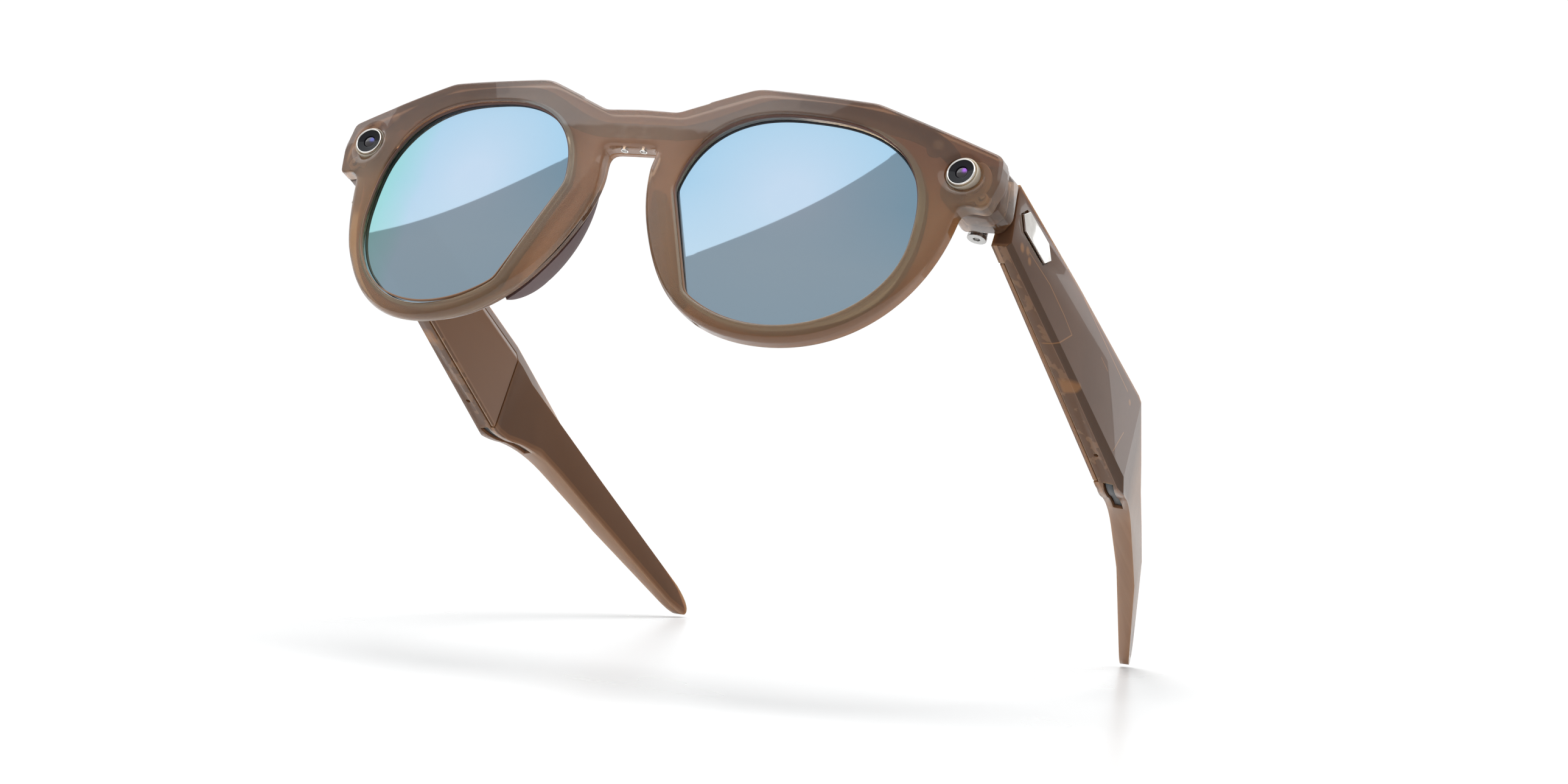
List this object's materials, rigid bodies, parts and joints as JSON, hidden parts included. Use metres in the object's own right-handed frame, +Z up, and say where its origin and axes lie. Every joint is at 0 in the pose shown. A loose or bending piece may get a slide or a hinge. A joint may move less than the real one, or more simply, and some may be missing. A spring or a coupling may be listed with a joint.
{
  "type": "smart glasses",
  "caption": "Round-lens smart glasses in translucent plastic: mirrored lenses, a camera and a light in the end pieces, deep folding temples, speakers below.",
  "frame": {"origin": "middle of the bounding box on the surface that the open glasses stand on", "axes": "+X to the wearer's left, the front faces -Y and the temples run back along +Y, +Z up"},
  "size_m": [0.1524, 0.1588, 0.0518],
  "materials": {
    "frame_plastic": "translucent brown plastic, satin gloss",
    "rear_plastic": "translucent brown plastic, a little lighter",
    "mirror_lens": "pale blue mirror coating on a dark lens",
    "pad_rubber": "soft matte dark brown",
    "chrome": "polished",
    "steel": "fine satin",
    "cover_glass": "black glass with a violet coating",
    "black_plastic": "fine matte",
    "pale_plastic": "milky",
    "flex_film": "amber polyimide film",
    "board": "green solder mask",
    "cell": "dull grey pouch",
    "grille": "fine dark mesh"
  },
  "bodies": {
    "front": {"front_shell": "frame_plastic", "rear_shell": "rear_plastic", "lens_left": "mirror_lens", "lens_right": "mirror_lens", "nose_pad_left": "pad_rubber", "nose_pad_right": "pad_rubber", "camera_bezel": "chrome", "camera_cover_glass": "cover_glass", "camera_barrel": "black_plastic", "camera_holder": "pale_plastic", "camera_board": "board", "camera_screw": "steel", "indicator_bezel": "chrome", "indicator_cover_glass": "cover_glass", "indicator_barrel": "black_plastic", "indicator_holder": "pale_plastic", "indicator_board": "board", "indicator_screw": "steel", "front_flex": "flex_film", "bridge_contact_left": "chrome", "bridge_contact_right": "chrome", "end_cover_left": "rear_plastic", "end_cover_right": "rear_plastic", "front_hinge_leaf_left": "steel", "front_hinge_leaf_right": "steel", "hinge_screw_left": "steel", "hinge_screw_right": "steel"},
    "left_temple": {"temple_hinge_leaf_left": "steel", "temple_shell_left": "frame_plastic", "temple_cover_left": "frame_plastic", "badge_left": "chrome", "speaker_grille_left": "grille", "speaker_left": "black_plastic", "microphone_left": "chrome", "battery_left": "cell", "circuit_board_left": "board", "temple_flex_left": "flex_film", "slider_switch": "black_plastic"},
    "right_temple": {"temple_hinge_leaf_right": "steel", "temple_shell_right": "frame_plastic", "temple_cover_right": "frame_plastic", "badge_right": "chrome", "speaker_grille_right": "grille", "speaker_right": "black_plastic", "microphone_right": "chrome", "battery_right": "cell", "circuit_board_right": "board", "temple_flex_right": "flex_film", "touch_strip": "flex_film", "button_switch": "steel"},
    "capture_button": {"capture_button": "frame_plastic"},
    "power_slider": {"power_slider": "black_plastic"}
  },
  "joints": [
    {"name": "left_temple_fold", "type": "hinge", "parent": "front", "child": "left_temple", "pos_m": [0.0658, -0.05612, 0.0387], "axis": [0, 0.0445, 0.999], "range_deg": [0, 84]},
    {"name": "right_temple_fold", "type": "hinge", "parent": "front", "child": "right_temple", "pos_m": [-0.0658, -0.05612, 0.0387], "axis": [0, -0.0445, -0.999], "range_deg": [0, 76]},
    {"name": "capture_button_press", "type": "slide", "parent": "right_temple", "child": "capture_button", "axis": [0, -0.0445, -0.999], "range_m": [0, 0.0006], "stiffness_N_per_m": 1500, "springref_m": -0.0003},
    {"name": "power_slider_travel", "type": "slide", "parent": "left_temple", "child": "power_slider", "axis": [0, 0.999, -0.0445], "range_m": [0, 0.002]}
  ]
}
